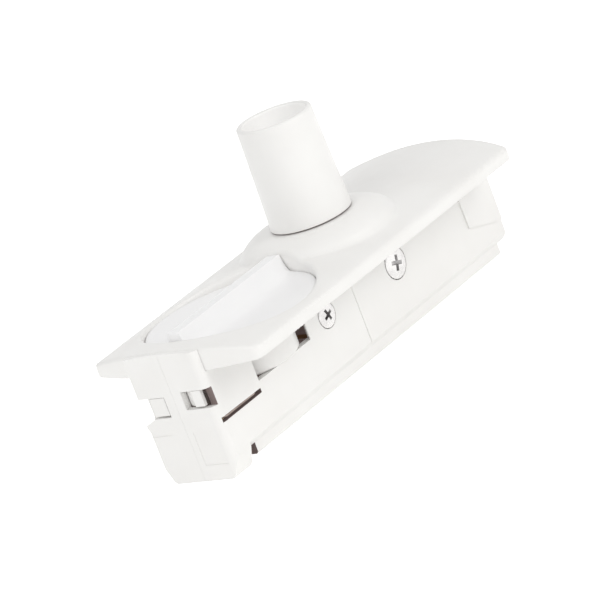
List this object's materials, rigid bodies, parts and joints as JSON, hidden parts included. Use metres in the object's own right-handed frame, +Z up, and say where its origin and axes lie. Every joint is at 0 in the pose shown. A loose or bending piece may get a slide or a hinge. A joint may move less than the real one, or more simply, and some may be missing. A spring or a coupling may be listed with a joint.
{
  "type": "track light adapter",
  "caption": "White track adapter: a long two-shell body with sliding contacts and a rotary lock under a crowned oval cover that carries a short hollow stem for a lamp.",
  "frame": {"origin": "middle of the outline, at the underside of the body's end block", "axes": "+X along the body, away from its contact end; +Z up the stem; the body's seam is the plane y = 0 and its screw heads face -Y"},
  "size_m": [0.086, 0.036, 0.0446],
  "materials": {
    "white_moulding": "semi-gloss white",
    "knob_moulding": "semi-gloss white, slightly cooler",
    "plated_steel": "bright nickel plate",
    "zinc": "zinc plate",
    "brass": "bare brass"
  },
  "bodies": {
    "shell": {"cover": "white_moulding", "near_housing": "white_moulding", "far_housing": "white_moulding", "housing_screw_left": "plated_steel", "housing_screw_right": "plated_steel", "detent_spring": "plated_steel", "near_contact_strip": "brass", "near_terminal": "brass", "near_terminal_screw": "plated_steel", "far_contact_strip": "brass", "far_terminal": "brass", "far_terminal_screw": "plated_steel"},
    "lock": {"rotary_knob": "knob_moulding", "lock_rotor": "white_moulding", "lock_plate": "plated_steel", "rotor_screw": "plated_steel"},
    "near_contact": {"near_contact_slide": "white_moulding", "near_contact_blade": "brass"},
    "far_contact": {"far_contact_slide": "white_moulding", "far_contact_blade": "brass"},
    "stem": {"stem_sleeve": "white_moulding", "stem_nipple": "zinc", "stem_washer": "plated_steel", "stem_nut": "zinc"}
  },
  "joints": [
    {"name": "knob_turn", "type": "hinge", "parent": "shell", "child": "lock", "pos_m": [-0.0225, 0, 0.0192], "axis": [0, 0, -1], "range_deg": [0, 90]},
    {"name": "near_contact_out", "type": "slide", "parent": "shell", "child": "near_contact", "axis": [0, -1, 0], "range_m": [0, 0.0026]},
    {"name": "far_contact_out", "type": "slide", "parent": "shell", "child": "far_contact", "axis": [0, 1, 0], "range_m": [0, 0.0026]},
    {"name": "stem_swivel", "type": "hinge", "parent": "shell", "child": "stem", "pos_m": [0.005, 0, 0.0255], "axis": [0, 0, 1], "range_deg": [-175, 175]}
  ],
  "couplings": [
    {"joint": "near_contact_out", "follows": "knob_turn", "m_per_rad": 0.00165},
    {"joint": "far_contact_out", "follows": "knob_turn", "m_per_rad": 0.00165}
  ]
}
